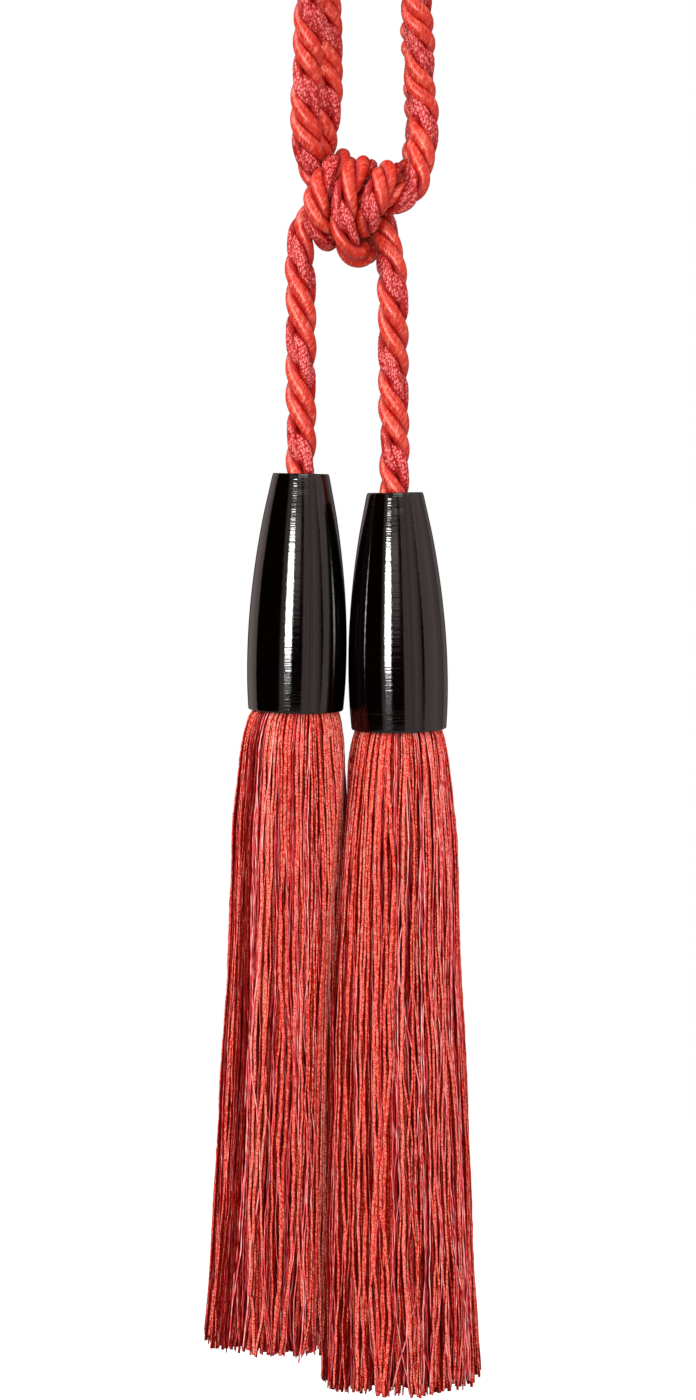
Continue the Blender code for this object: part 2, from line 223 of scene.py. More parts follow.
CORE_TO_RIGHT_HEAD = [
    (-8.8, 3, -85, 1),
    (-3.5, 4.6, -87.2, 1),
    (3, 4.6, -87.8, 1),
    (8.4, 3.4, -90.4, 1),
    (12.2, 0, -96, 1),
    (13.9, -4.2, -102, 1),
    (14.1, -6.6, -110, 0.6),
    (14.5, -4.5, -122, 0.05),
    (14.7, -0.5, -142, 0),
    (14.8, 0, -160, 0),
    (15.2, 0, -182.6, 0),
    (15.45, 0, -198.6, 0),
]
ROUTE = (
    LEFT_HEAD_TO_KNOT
    + CORE_TO_RIGHT_LOOP
    + crown(21.0, 21.4, -1)
    + RIGHT_LOOP_TO_KNOT
    + RIGHT_TURN
    + MIDDLE_TURN
    + LEFT_TURN
    + KNOT_TO_LEFT_LOOP
    + crown(-7.6, -10.4, 1)
    + LEFT_LOOP_TO_KNOT
    + CORE_TO_RIGHT_HEAD
)


def length_along(line):
    """How far along the line each of its points lies."""
    return np.concatenate([[0.0], np.cumsum(np.linalg.norm(np.diff(line, axis=0), axis=1))])


def respaced(points, step):
    """The polyline's points at even spacing, about a step apart. Every column is carried along."""
    along = length_along(points[:, :3])
    places = np.linspace(0.0, along[-1], int(round(along[-1] / step)) + 1)
    return np.stack([np.interp(places, along, column) for column in points.T], axis=1)


def smooth_curve(knots, step):
    """A smooth curve through the knots, as even points about a step apart."""
    sides = np.linalg.norm(np.diff(knots[:, :3], axis=0), axis=1)
    times = np.concatenate([[0.0], np.cumsum(np.sqrt(sides))])
    slopes = np.gradient(knots, times, axis=0)
    u = np.linspace(0.0, 1.0, SPAN_POINTS, endpoint=False)[:, None]
    pieces = []
    for i in range(len(knots) - 1):
        span = times[i + 1] - times[i]
        pieces.append(
            (2 * u**3 - 3 * u**2 + 1) * knots[i]
            + (u**3 - 2 * u**2 + u) * span * slopes[i]
            + (3 * u**2 - 2 * u**3) * knots[i + 1]
            + (u**3 - u**2) * span * slopes[i + 1]
        )
    return respaced(np.concatenate([*pieces, knots[-1:]]), step)


def squeeze(height):
    """The rope's thickness at a height, as a share of its free thickness."""
    above_bottom = np.clip((height - KNOT_BOTTOM) / SQUEEZE_BLEND + 0.5, 0, 1)
    below_top = np.clip((KNOT_TOP - height) / SQUEEZE_BLEND + 0.5, 0, 1)
    return 1 - (1 - KNOT_SQUEEZE) * above_bottom * below_top


def settled(route):
    """The route once its turns have pushed each other apart, as a knot's turns do when pulled tight."""
    points = route[:, :3].copy()
    home = points.copy()
    freedom = np.clip(route[:, 3:], 0, 1)
    order = np.arange(len(points))
    step = np.linalg.norm(np.diff(points, axis=0), axis=1).mean()
    apart_along = np.abs(order[:, None] - order[None]) * step > NEIGHBOUR_REACH
    for i in range(SETTLE_ROUNDS):
        radius = ROPE_RADIUS * squeeze(points[:, 2])
        away = points[:, None] - points[None]
        distance = np.linalg.norm(away, axis=2) + 1e-9
        room = radius[:, None] + radius[None] + TURN_CLEARANCE
        lack = np.clip(room - distance, 0, None) * apart_along
        push = (away * (lack / distance)[..., None]).sum(axis=1)
        touching = np.maximum((lack > 0).sum(axis=1), 1)[:, None]
        points += push / touching * PUSH_SHARE * freedom
        bend = np.zeros_like(points)
        bend[1:-1] = (points[2:] + points[:-2]) / 2 - points[1:-1]
        points += bend * (BEND_SHARE if i < BEND_ROUNDS else LAST_BEND_SHARE) * freedom
        if i < PULL_ROUNDS:
            points += (home - points) * PULL_SHARE * freedom
    return points


# How many whole turns the strands have made at places along the rope, from its end in the left head:
# one in about 30 mm in the free runs, and one in 21 to 25 mm where the rope is pulled round.
STRAND_TURNS = [
    # millimetres along, turns
    (0, 0.20),
    (53, 1.97),
    (85, 2.97),
    (134, 4.96),
    (158, 5.97),
    (179, 6.97),
    (356, 15.40),
    (410, 17.80),
    (434, 18.56),
    (517, 21.66),
    (540, 22.62),
    (597, 25.08),
    (620, 26.08),
    (705, 29.61),
    (730, 30.61),
    (754, 31.63),
    (806, 33.69),
    (836, 34.69),
    (863, 35.69),
    (890, 36.65),
]


def lay(points):
    """The strands' turn angle at each point, from the table of turns, with its changes eased."""
    places, turns = np.array(STRAND_TURNS).T
    along = length_along(points) / MM
    shifted = [np.interp(along + shift, places, turns) for shift in LAY_EASING_MM]
    evened = sum(shifted) / len(shifted)
    end_reach = LAY_EASING_MM[-1]
    inside = (along > end_reach) & (along < along[-1] - end_reach)
    return 2 * math.pi * np.where(inside, evened, np.interp(along, places, turns))


def unit(vectors):
    """The vectors at length one."""
    return vectors / np.linalg.norm(vectors, axis=-1, keepdims=True)


def carried_frame(points):
    """Two axes across the rope at each point, carried along it without turning about it."""
    ahead = unit(np.gradient(points, axis=0))
    side = np.empty_like(ahead)
    last = np.array([1.0, 0.0, 0.0])
    for i, forward in enumerate(ahead):
        last = last - forward * last.dot(forward)
        last /= np.linalg.norm(last)
        side[i] = last
    return side, np.cross(ahead, side)


def laid_strand(points, side, up, angle, offset):
    """A strand's own line, its outer direction and its flank, laid round the rope at an angle."""
    out = np.cos(angle)[:, None] * side + np.sin(angle)[:, None] * up
    line = points + out * offset[:, None]
    ahead = unit(np.gradient(line, axis=0))
    out = unit(out - ahead * (out * ahead).sum(axis=1)[:, None])
    return line, out, np.cross(ahead, out)


def swept_mesh(name, strands):
    """One mesh of closed strands. Each strand is its rings of points, the length along it of each
    ring, its girth, its tone and the painted shade it takes for lying deep, from 0 to 1, kept as its
    depth. Length and girth are kept in millimetres as strand coordinates."""
    points, faces, coordinates, tones, depths = [], [], [], [], []
    start = 0
    for rings, along, girth, tone, depth in strands:
        count, sides = rings.shape[:2]
        ring, side = np.meshgrid(np.arange(count - 1), np.arange(sides), indexing="ij")
        far = (side + 1) % sides
        this_ring, next_ring = ring * sides, (ring + 1) * sides
        corners = [this_ring + side, this_ring + far, next_ring + far, next_ring + side]
        faces += (np.stack(corners, axis=-1).reshape(-1, 4) + start).tolist()
        around = np.stack([side, side + 1, side + 1, side], axis=-1) * (girth / MM / sides)
        length = np.stack([along[ring], along[ring], along[ring + 1], along[ring + 1]], axis=-1) / MM
        coordinates.append(np.stack([around, length], axis=-1).reshape(-1, 2))
        faces.append(list(range(start + sides - 1, start - 1, -1)))
        faces.append(list(range(start + (count - 1) * sides, start + count * sides)))
        coordinates.append(np.zeros((2 * sides, 2)))
        points.append(rings.reshape(-1, 3))
        tones.append(np.full(count * sides, tone))
        depths.append(np.full(count * sides, depth))
        start += count * sides
    mesh = bpy.data.meshes.new(name)
    mesh.from_pydata(np.concatenate(points).tolist(), [], faces)
    layer = mesh.uv_layers.new(name="strand")
    layer.uv.foreach_set("vector", np.concatenate(coordinates).astype(np.float32).ravel())
    for label, values in (("tone", tones), ("depth", depths)):
        layer = mesh.attributes.new(label, "FLOAT", "POINT")
        layer.data.foreach_set("value", np.concatenate(values).astype(np.float32))
    mesh.shade_smooth()
    return mesh


def round_rings(line, out, flank, half_out, half_flank, sides, swell=1.0):
    """Rings of points round a line. Its half-sizes and its swelling may change along it."""
    angle = np.linspace(0, 2 * math.pi, sides, endpoint=False)[None, :, None]
    reach = half_out * np.cos(angle) * out[:, None] + half_flank * np.sin(angle) * flank[:, None]
    return line[:, None] + reach * swell


def feed(tree, target, values):
    """Gives a node's inputs their values, or what feeds them."""
    for socket, value in values.items():
        if isinstance(value, bpy.types.NodeSocket):
            tree.links.new(value, target.inputs[socket])
        else:
            target.inputs[socket].default_value = value


def node(tree, kind, values=None, **settings):
    """A shader node with its settings and its inputs."""
    made = tree.nodes.new(kind)
    for setting, value in settings.items():
        setattr(made, setting, value)
    feed(tree, made, values or {})
    return made


def maths(tree, operation, first, second=0.0, clamp=False):
    """One Math node's result."""
    values = {0: first, 1: second}
    return node(tree, "ShaderNodeMath", values, operation=operation, use_clamp=clamp).outputs[0]


def scaled(tree, value, factor, plus=0.0):
    """The value times a factor, plus another value."""
    values = {0: value, 1: factor, 2: plus}
    return node(tree, "ShaderNodeMath", values, operation="MULTIPLY_ADD").outputs[0]


def eased(tree, value, low, high, start=0.0, end=1.0):
    """A smooth change from start to end as the value goes from low to high."""
    values = {"Value": value, "From Min": low, "From Max": high, "To Min": start, "To Max": end}
    return node(tree, "ShaderNodeMapRange", values, interpolation_type="SMOOTHSTEP").outputs[0]


def noise(tree, place, scale, detail, roughness=0.5):
    """Smooth noise from 0 to 1."""
    values = {"Vector": place, "Scale": scale, "Detail": detail, "Roughness": roughness}
    return node(tree, "ShaderNodeTexNoise", values).outputs[0]


def attribute(tree, name):
    """A number that the mesh keeps at its points."""
    return node(tree, "ShaderNodeAttribute", attribute_name=name).outputs["Fac"]


def ramp(tree, share, stops):
    """Colours over a share from 0 to 1. A stop is a place and a linear colour."""
    made = node(tree, "ShaderNodeValToRGB", {0: share})
    while len(made.color_ramp.elements) < len(stops):
        made.color_ramp.elements.new(0.5)
    for element, (place, colour) in zip(made.color_ramp.elements, stops):
        element.position = place
        element.color = (*colour, 1.0)
    return made.outputs[0]


def new_group(name, inputs, outputs):
    """A shader node group with named inputs (name, value) and outputs, all plain numbers."""
    group = bpy.data.node_groups.new(name, "ShaderNodeTree")
    for label, value in inputs:
        made = group.interface.new_socket(label, in_out="INPUT", socket_type="NodeSocketFloat")
        made.default_value = value
    for label in outputs:
        group.interface.new_socket(label, in_out="OUTPUT", socket_type="NodeSocketFloat")
    return group, group.nodes.new("NodeGroupInput"), group.nodes.new("NodeGroupOutput")


TONE_LAYERS = 37.0  # layers of cells between a tone of 0 and one of 1


def strand_coordinates(tree):
    """Millimetres around the strand and along it, and a third that is zero."""
    place = node(tree, "ShaderNodeUVMap", uv_map="strand").outputs[0]
    return node(tree, "ShaderNodeSeparateXYZ", {0: place}).outputs


def strand_place(tree, width, length, slant):
    """Strand coordinates over a cell's width and length, with the cells laid at a slant. Each
    strand's own tone takes it to its own layer of the cells."""
    around, along = strand_coordinates(tree)[:2]
    slanted = maths(tree, "ADD", around, maths(tree, "MULTIPLY", along, slant))
    across = maths(tree, "DIVIDE", slanted, width)
    down = maths(tree, "DIVIDE", along, length)
    own_layer = scaled(tree, attribute(tree, "tone"), TONE_LAYERS)
    return node(tree, "ShaderNodeCombineXYZ", {0: across, 1: down, 2: own_layer}).outputs[0]


def filament_group():
    """Fine parallel silk filaments: their relief, and how light or dark each runs."""
    group, given, out = new_group(
        "silk_filaments",
        [("Line Width", 0.2), ("Line Length", 9.0), ("Slant", 0.5)],
        ["Relief", "Tone"],
    )
    place = strand_place(group, *given.outputs[:3])
    lines = noise(group, place, 1.0, 2.0, 0.6)
    broad = noise(group, place, 0.21, 1.0)
    tone = scaled(group, lines, 0.8, scaled(group, broad, 0.2))
    feed(group, out, {"Relief": lines, "Tone": tone})
    return group


def crepe_group():
    """Crepe's crinkled grains: their rounded relief, and how deep each place lies in the crevices between
    them, which the finishes use for painted shade in the crevices and painted highlights on the grains'
    tops.
    """
    group, given, out = new_group(
        "crepe_grain",
        [("Grain Width", 0.8), ("Grain Length", 1.2), ("Slant", 0.6)],
        ["Relief", "Crevice"],
    )
    place = strand_place(group, *given.outputs[:3])
    cells = node(group, "ShaderNodeTexVoronoi", {"Vector": place, "Scale": 1.0, "Randomness": 0.65})
    reach = cells.outputs["Distance"]
    crevice = scaled(group, maths(group, "MULTIPLY", reach, reach), 2.5)
    rounded = maths(group, "SUBTRACT", 1.0, crevice, clamp=True)
    relief = scaled(group, rounded, 0.85, scaled(group, noise(group, place, 1.9, 2.0, 0.6), 0.25))
    feed(group, out, {"Relief": relief, "Crevice": maths(group, "SUBTRACT", 1.0, rounded)})
    return group


def valley_group():
    """Painted shade between a strand and the next: how dark a place is painted by which way its side
    of the strand faces, the cosine of the turn from straight outward. From Start to End it goes from
    none to full, and past there, under the strand, it goes to Inside."""
    group, given, out = new_group(
        "strand_valley_painted_shade",
        [("Girth", 15.0), ("Start", 0.5), ("End", 0.0), ("Inside", 1.0)],
        ["Shade"],
    )
    turn = maths(group, "DIVIDE", strand_coordinates(group)[0], given.outputs["Girth"])
    facing = maths(group, "COSINE", scaled(group, turn, 2 * math.pi))
    between = eased(group, facing, given.outputs["Start"], given.outputs["End"])
    under = eased(group, facing, 0.2, -0.1, 1.0, given.outputs["Inside"])
    feed(group, out, {"Shade": maths(group, "MULTIPLY", between, under)})
    return group


FILAMENTS = filament_group()
CREPE_GRAIN = crepe_group()
VALLEY = valley_group()
TONE_SPREAD = 0.18  # how far a strand's own tone shifts its place among its colours
# Painted shade in the valleys between strands: how dark it is painted, how much it deepens the colour, and
# how much rougher it makes the silk.
VALLEY_DARKNESS = 0.9
VALLEY_RICHNESS = 1.1  # how much deeper and redder the painted shade makes the colour in a valley
VALLEY_ROUGHNESS = 0.4
FILAMENT_TURN = 1 / 3  # of a whole turn, from round the strand to its filaments


def silk(
    name,
    relief,
    sizes,
    colour_from,
    colours,
    girth,
    gap,
    painted_shade_colour,
    relief_depth,
    roughness,
    gloss,
    gloss_tint,
    brushed,
):
    """A silk finish. The relief group lays its grain at the sizes, and its output colour_from picks
    among the colours. A painted shade darkens them toward the gap's colour between strands of that
    girth and on strands that lie deep, and the gloss is drawn out across the filaments by how far
    they are brushed."""
    made = bpy.data.materials.new(name)
    made.use_nodes = True
    tree = made.node_tree
    shader = tree.nodes["Principled BSDF"]
    grain = node(tree, "ShaderNodeGroup", sizes, node_tree=relief).outputs
    own = scaled(tree, maths(tree, "SUBTRACT", attribute(tree, "tone"), 0.5), TONE_SPREAD)
    share = maths(tree, "ADD", grain[colour_from], own, clamp=True)
    valley = node(tree, "ShaderNodeGroup", {"Girth": girth / MM, **gap}, node_tree=VALLEY).outputs[0]
    # painted shade: darker between strands, and on skirt strands in the inner layers
    deep = maths(tree, "MAXIMUM", scaled(tree, valley, VALLEY_DARKNESS), attribute(tree, "depth"))
    richness = scaled(tree, deep, VALLEY_RICHNESS, 1.0)
    # the dye's colour, made deeper and redder by the painted shade
    dye_with_painted_shade = node(tree, "ShaderNodeGamma", {0: ramp(tree, share, colours), 1: richness}).outputs[0]
    # of the Mix node's sockets, 6 and 7 are its two colours, and 2 is the colour that comes out
    mixed = {0: deep, 6: dye_with_painted_shade, 7: (*painted_shade_colour, 1.0)}
    shaded = node(tree, "ShaderNodeMix", mixed, data_type="RGBA").outputs[2]
    bumps = {"Strength": 1.0, "Distance": relief_depth, "Height": grain["Relief"]}
    around = node(tree, "ShaderNodeTangent", direction_type="UV_MAP", uv_map="strand")
    feed(
        tree,
        shader,
        {
            "Base Color": shaded,
            "Roughness": scaled(tree, deep, VALLEY_ROUGHNESS, roughness),
            "Normal": node(tree, "ShaderNodeBump", bumps).outputs[0],
            "Specular IOR Level": gloss,
            "Specular Tint": (*gloss_tint, 1.0),
            "Anisotropic": brushed,
            "Anisotropic Rotation": FILAMENT_TURN,
            "Tangent": around.outputs[0],
        },
    )
    return made


route = smooth_curve(np.array(ROUTE, float) * (MM, MM, MM, 1), RING_STEP)
rope_centre = smooth_curve(respaced(settled(route), RING_STEP), PLY_STEP)
rope_side, rope_up = carried_frame(rope_centre)
rope_turn = lay(rope_centre)
rope_press = squeeze(rope_centre[:, 2])

satin_strands = []
every = int(round(SATIN_STEP / PLY_STEP))
for degrees, tone in SATIN_STRANDS:
    angle = math.radians(START_TURN + degrees) - rope_turn
    line, out, flank = laid_strand(rope_centre, rope_side, rope_up, angle, SATIN_OFFSET * rope_press)
    along = length_along(line)[::every]
    line, out, flank, press = line[::every], out[::every], flank[::every], rope_press[::every, None, None]
    waver = 1 + SATIN_WAVER * np.sin(along / SATIN_WAVER_LENGTH + 3 * tone)[:, None, None]
    rings = round_rings(line, out, flank, SATIN_OUT * press, SATIN_FLANK * press, SATIN_SIDES, waver)
    satin_strands.append((rings, along, 2 * math.pi * SATIN_FLANK, tone, 0.0))
rope_satin = placed("rope_satin_strands", swept_mesh("rope_satin_strands", satin_strands))
rope_satin.data.materials.append(
    silk(
        "satin_orange_red",
        relief=FILAMENTS,
        sizes={"Line Width": 1.15, "Line Length": 1.7, "Slant": -1.73},
        colour_from="Tone",
        colours=[
            # tone, colour: the filaments' own orange-reds, the palest pink partly a painted highlight of
            # speckled glints
            (0.36, (0.42, 0.005, 0.002)),
            (0.53, (0.53, 0.026, 0.009)),
            (0.67, (0.66, 0.15, 0.10)),
        ],
        girth=2 * math.pi * SATIN_FLANK,
        # where the painted shade between strands starts and ends, and its dark red colour
        gap={"Start": 0.5, "End": 0.0, "Inside": 1.0},
        painted_shade_colour=(0.33, 0.001, 0.002),
        relief_depth=0.3 * MM,
        roughness=0.4,
        gloss=1.0,
        gloss_tint=(1.0, 0.5, 0.43),
        brushed=0.6,
    )
)

crepe_strands = []
angle = math.radians(START_TURN + CREPE_ANGLE) - rope_turn
line, out, flank = laid_strand(rope_centre, rope_side, rope_up, angle, CREPE_OFFSET * rope_press)
along = length_along(line)
for start, tone in CREPE_PLIES:
    swing = start - 2 * math.pi * along / PLY_TURN
    sideways = flank * (PLY_SWING_FLANK * np.cos(swing))[:, None]
    outward = out * (PLY_SWING_OUT * np.sin(swing))[:, None]
    ply = line + (sideways + outward) * rope_press[:, None]
    round_place = PLY_BUMPS_ROUND * np.linspace(0, 2 * math.pi, PLY_SIDES, endpoint=False)[None]
    row = along[:, None] / PLY_BUMP_STEP * math.pi
    crinkle = 1 + PLY_CRINKLE * np.sin(round_place + row + start) * np.sin(round_place - row + 2 * start)
    press = rope_press[:, None, None]
    rings = round_rings(ply, out, flank, PLY_OUT * press, PLY_FLANK * press, PLY_SIDES, crinkle[..., None])
    crepe_strands.append((rings, along, 2 * math.pi * PLY_FLANK, tone, 0.0))
rope_crepe = placed("rope_crepe_strand", swept_mesh("rope_crepe_strand", crepe_strands))
rope_crepe.data.materials.append(
    silk(
        "crepe_crimson_pink",
        relief=CREPE_GRAIN,
        sizes={"Grain Width": 0.95, "Grain Length": 1.0, "Slant": -0.6},
        colour_from="Crevice",
        colours=[
            # how deep in a crevice, colour: the middle is the dye's own crimson, the pink on the grains'
            # tops a painted highlight, the dark red deep in the crevices painted shade
            (0.05, (0.74, 0.22, 0.21)),
            (0.4, (0.56, 0.066, 0.065)),
            (0.8, (0.43, 0.017, 0.019)),
            (1.0, (0.27, 0.002, 0.004)),
        ],
        girth=2 * math.pi * PLY_FLANK,
        # where the painted shade between strands starts and ends, and its dark red colour
        gap={"Start": 0.5, "End": 0.0, "Inside": 1.0},
        painted_shade_colour=(0.33, 0.001, 0.002),
        relief_depth=0.26 * MM,
        roughness=0.36,
        gloss=0.55,
        gloss_tint=(1.0, 0.5, 0.43),
        brushed=0.0,
    )
)
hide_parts("rope")
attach(rope_satin, "root")
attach(rope_crepe, "root")

# ------------------------------------------------------------------------------------- Heads
# Two heads turned from near-black resin and polished: drop-shaped, widest low down, flat on top
# with a bore that the rope goes into, and hollowed below for the fringe's roots.
HEAD_HEIGHT = 75.5 * MM
BORE_RADIUS = 5.6 * MM
RECESS_RADIUS = 14.3 * MM
RECESS_DEPTH = 11.0 * MM
HEAD_STEPS = 128
FLANK_STEP = 0.9 * MM
EDGE_ROUND = 0.45 * MM
MOUTH_ROUND = 0.3 * MM
ROUND_POINTS = 5
TOP_FLAT_RADIUS = 7.2 * MM  # one more point on the flat top, between its two rounded edges
SHARP_ANGLE = math.radians(40)
HEAD_PROFILE_MM = [
    # radius, below top
    (9.0, 0.0),
    (10.1, 5.3),
    (12.0, 14.9),
    (13.9, 27.7),
    (15.2, 40.5),
    (15.75, 50.0),
    (15.9, 60.0),
    (15.7, 68.0),
    (15.2, 75.5),
]
HEADS = {
    # top centre x, top z, lean outward of the lower end
    "left": (-14.9 * MM, -176.5 * MM, math.radians(1.26)),
    "right": (15.2 * MM, -182.6 * MM, math.radians(-0.95)),
}
TURNING_RINGS = (25.0, 25.0, 2300.0)  # the rings' noise, across the head and up it, a metre
RING_DEPTH = 0.12 * MM
RESIN_COLOURS = [(0.3, (0.0006, 0.0001, 0.0001)), (0.7, (0.0014, 0.0003, 0.0003))]


def head_outline():
    """The turned outline as (radius, z) points: bore's top edge, outer side down, recess, bore."""
    knots = np.array([(radius, 0.0, -below) for radius, below in HEAD_PROFILE_MM]) * MM
    flank = smooth_curve(knots, FLANK_STEP)[:, (0, 2)]
    quarter = np.linspace(0, math.pi / 2, ROUND_POINTS)
    rise, run = np.sin(quarter), np.cos(quarter)
    mouth_round = np.array([BORE_RADIUS, 0.0]) + MOUTH_ROUND * np.stack([1 - run, rise - 1], axis=1)
    top_round = flank[0] + EDGE_ROUND * np.stack([rise - 1, run - 1], axis=1)
    foot_round = flank[-1] - (EDGE_ROUND, 0) + EDGE_ROUND * np.stack([run, 1 - rise], axis=1)
    ceiling = -HEAD_HEIGHT + RECESS_DEPTH
    return np.concatenate(
        [
            mouth_round,
            [(TOP_FLAT_RADIUS, 0.0)],
            top_round,
            flank[1:-1],
            foot_round,
            [(RECESS_RADIUS, -HEAD_HEIGHT), (RECESS_RADIUS, ceiling), (BORE_RADIUS, ceiling)],
        ]
    )


def turned_mesh(name, outline, steps):
    """A closed outline turned about its axis."""
    angle = np.linspace(0, 2 * math.pi, steps, endpoint=False)[:, None]
    radius, height = outline.T
    points = np.stack([radius * np.cos(angle), radius * np.sin(angle), height + 0 * angle], axis=-1)
    step, place = np.meshgrid(np.arange(steps), np.arange(len(outline)), indexing="ij")
    size = len(outline)
    here, there = step * size, (step + 1) % steps * size
    below = (place + 1) % size
    corners = np.stack([here + place, here + below, there + below, there + place], axis=-1)
    mesh = bpy.data.meshes.new(name)
    mesh.from_pydata(points.reshape(-1, 3).tolist(), [], corners.reshape(-1, 4).tolist())
    mesh.shade_smooth()
    mesh.set_sharp_from_angle(angle=SHARP_ANGLE)
    return mesh


def resin():
    """Polished near-black resin: a clear deep gloss over faint turning rings and fine scratches."""
    made = bpy.data.materials.new("resin_near_black")
    made.use_nodes = True
    tree = made.node_tree
    place = node(tree, "ShaderNodeTexCoord").outputs["Object"]
    ring_place = node(tree, "ShaderNodeVectorMath", {0: place, 1: TURNING_RINGS}, operation="MULTIPLY")
    rings = noise(tree, ring_place.outputs[0], 1.0, 2.0)
    patches = noise(tree, place, 60.0, 1.0)
    scratches = noise(tree, place, 1500.0, 1.0)
    height = maths(tree, "ADD", maths(tree, "MULTIPLY", rings, patches), scaled(tree, scratches, 0.1))
    bump = node(tree, "ShaderNodeBump", {"Strength": 1.0, "Distance": RING_DEPTH, "Height": height})
    round_axis = node(tree, "ShaderNodeTangent", direction_type="RADIAL", axis="Z")
    feed(
        tree,
        tree.nodes["Principled BSDF"],
        {
            "Base Color": ramp(tree, patches, RESIN_COLOURS),
            "Roughness": scaled(tree, scratches, 0.06, 0.05),
            "Normal": bump.outputs[0],
            "IOR": 1.52,
            "Anisotropic": 1.0,
            "Anisotropic Rotation": 0.25,
            "Tangent": round_axis.outputs[0],
        },
    )
    return made


RESIN = resin()
for side, (top_x, top_z, lean) in HEADS.items():
    head = placed("turned_head_" + side, turned_mesh("turned_head_" + side, head_outline(), HEAD_STEPS))
    head.location = (top_x, 0.0, top_z)
    head.rotation_euler = (0.0, lean, 0.0)
    head.data.materials.append(RESIN)
    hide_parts("head_" + side)
    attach(head, "root")

# ------------------------------------------------------------------------------------ Skirts
# Each skirt is a cut fringe of several hundred silk threads: crinkled orange-red crepe yarns, and
# thin smooth pink threads among them. Their roots are bound and glued into the head's recess.
ROOT_INSET = 5.0 * MM
NECK_RADIUS = 13.6 * MM
NECK_DROP = 0.3 * MM  # below the head's foot, where the skirt starts to swell
CONTACT_GAP = 0.3 * MM  # between the middle, where the skirts press on each other, and a skirt
OUTLINE_POINTS = 240
CUT_HEIGHT = {"left": -452.6 * MM, "right": -462.4 * MM}
SKIRT_LEVELS_MM = [
    # below head, left edge, right edge, contact x, reach past it, half depth, offset y, contact slant
    (11, -34.4, 32.8, -0.3, -0.3, 17.0, 0.0, 0.0),
    (35, -37.0, 35.2, -0.8, 3.0, 18.0, 1.0, 0.2),
    (90, -39.4, 37.1, -1.6, 7.0, 18.8, 2.4, 0.45),
    (203, -46.4, 42.2, -2.3, 9.8, 19.6, 3.0, 0.6),
]
LAYERS = [
    # depth below the skirt's outline, how many of a yarn's rings one ring stands for, thickness, painted
    # shade for lying deep
    (0.7 * MM, 1, 1.0, 0.0),
    (1.8 * MM, 2, 1.0, 0.4),
    (3.1 * MM, 4, 1.1, 0.62),
    (5.0 * MM, 10, 2.0, 0.8),
    (8.5 * MM, 20, 3.0, 0.9),
]
ALL_YARNS_FROM = 1.5  # a layer thicker than this holds yarns only

# The row of yarns and threads round a layer: each is a yarn by chance, more often after a thread.
GIRTH_LEVEL = 60 * MM  # how far below the head a layer's girth is measured
PACKING = 1.2
YARN_RADIUS = 0.56 * MM
YARN_WIDTHS = (0.78, 1.15)
THREAD_RADIUS = 0.29 * MM
THREAD_WIDTHS = (0.9, 1.3)
YARN_AFTER_THREAD = 0.5
YARN_AFTER_YARN = 0.35
KINDS = {
    # sides, radius as a share of its room, drift in its own slow waves
    "yarn": (6, 0.49, 0.85),
    "thread": (4, 0.41, 1.4),
}
CRINKLE_ROUND = 0.09  # how unevenly a yarn's sides swell, as a share
CRINKLE_ALONG = 0.05
ROOT_SHARE = 0.72  # the thickness at the root, growing to full over the root's length
ROOT_LENGTH = 14 * MM

# How far below the head a yarn's and a thread's rings lie: closer together near the root.
YARN_ROOT_STEP = 1.2 * MM
YARN_ROOT_REACH = 9 * MM
YARN_RING_STEP = 2.2 * MM
THREAD_ROOT_MM = (-0.5, 0.6, 1.5, 3, 5, 8, 12)
THREAD_RUN_START = 16 * MM
THREAD_RUN_RINGS = 44

# How threads stray from straight. Common waves move neighbours together, each thread has slow, quick
# and in-and-out waves of its own, and near the cut the ends splay.
COMMON_WAVES = [
    # waves round the skirt, waves down it, millimetres
    (7, 1.2, 0.45),
    (17, 2.1, 0.2),
    (31, 3.3, 0.09),
    (53, 4.6, 0.04),
]
COMMON_SHARE = 0.9
SLOW_WAVES = ((1.3, 0.55), (3.1, 0.4))  # waves down the skirt, millimetres
QUICK_WAVES = ((7.3, 0.2), (15.7, 0.14))
RISE_WAVE = (2.3, 0.28)
RISE_GROWTH = 5  # it grows to full over a fifth of the way down
ROOT_SWAY = 0.5  # the share of a thread's sway at its root, growing to full at the cut
STRAY_SHARE = 0.2  # of the threads drift further
STRAY_DRIFT = (2, 4)
ROW_DEPTH_MM = 0.4
DEPTH_SPREAD_MM = (-0.1, 0.2)
DEPTH_GROWTH = 12  # a thread's own depth in its row grows to full over a twelfth of the way down
FLARE_START = 0.72  # the share of the way down where the ends begin to splay
OUTER_SPLAY = 1.9 * MM
INNER_SPLAY = 1.1 * MM
SPLAY_OUT_SHARE = 0.35
SPLAY_OUT = 0.4 * MM
SPLAY_OUT_LIMITS = (-1.2 * MM, 1.3 * MM)
LENGTH_SPREAD = 0.9 * MM
ODD_LENGTH_SHARE = 0.06
ODD_LENGTHS_MM = (-5, 3)

ROW_SEEDS = {"left": 21, "right": 22}
COMMON_SEEDS = {"left": 5, "right": 9}
YARN_SEEDS = {"left": 35, "right": 45}
THREAD_SEEDS = {"left": 37, "right": 47}


def head_foot(side):
    """The centre of the head's bottom edge."""
    top_x, top_z, lean = HEADS[side]
    return np.array([top_x - HEAD_HEIGHT * math.sin(lean), 0.0, top_z - HEAD_HEIGHT * math.cos(lean)])


